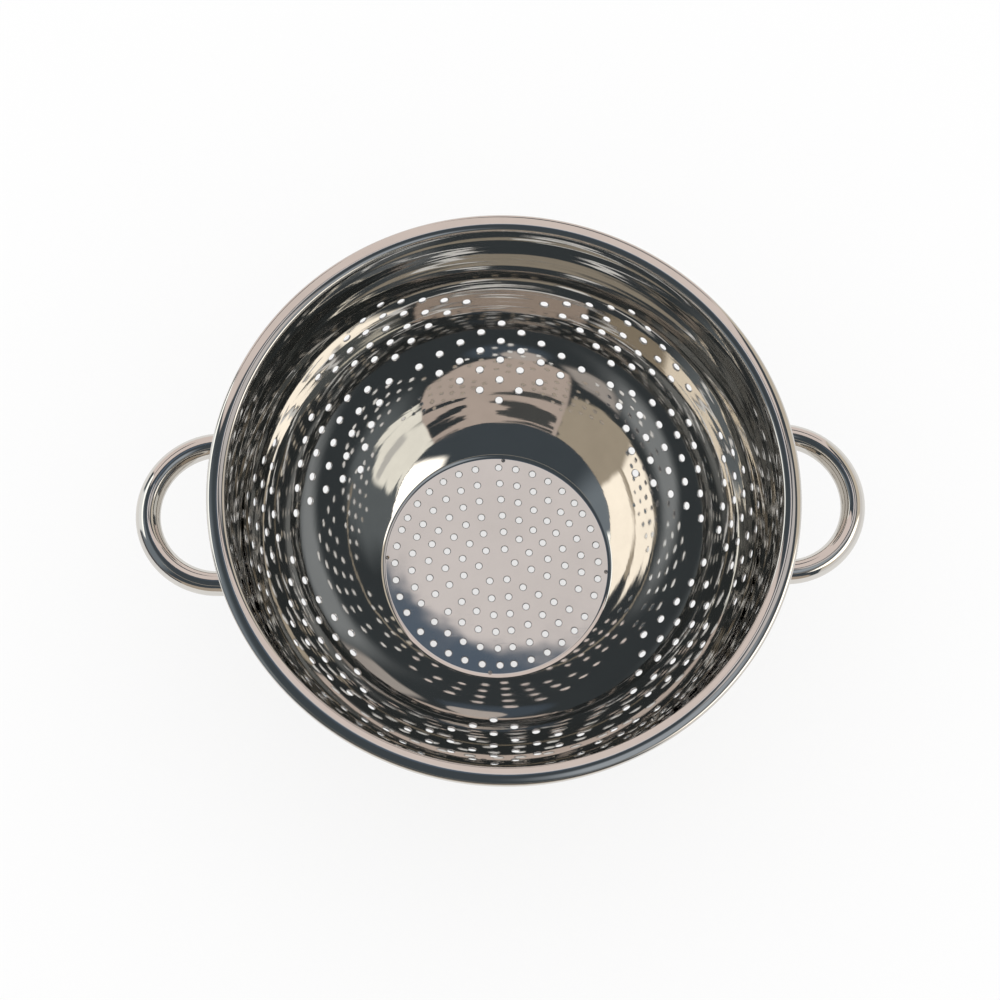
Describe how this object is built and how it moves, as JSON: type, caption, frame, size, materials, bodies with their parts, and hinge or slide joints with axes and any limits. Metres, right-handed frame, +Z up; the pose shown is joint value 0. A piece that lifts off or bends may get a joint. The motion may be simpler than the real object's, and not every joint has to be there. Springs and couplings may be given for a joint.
{
  "type": "colander",
  "caption": "Deep round steel colander with a perforated bowl, rolled rim, tube side handles and a flared foot ring.",
  "frame": {"origin": "middle of the foot's flat underside, on the bowl's axis", "axes": "+Z up along the bowl's axis, +X out through the right handle, +Y away from a viewer in front"},
  "size_m": [0.3572, 0.2804, 0.162],
  "materials": {
    "bowl_steel": "polished",
    "handle_steel": "polished",
    "foot_steel": "polished",
    "weld_steel": "matt"
  },
  "bodies": {
    "root": {"bowl": "bowl_steel", "right_handle": "handle_steel", "left_handle": "handle_steel", "right_handle_welds": "weld_steel", "left_handle_welds": "weld_steel", "foot_ring": "foot_steel", "foot_spot_welds": "weld_steel"}
  },
  "joints": []
}
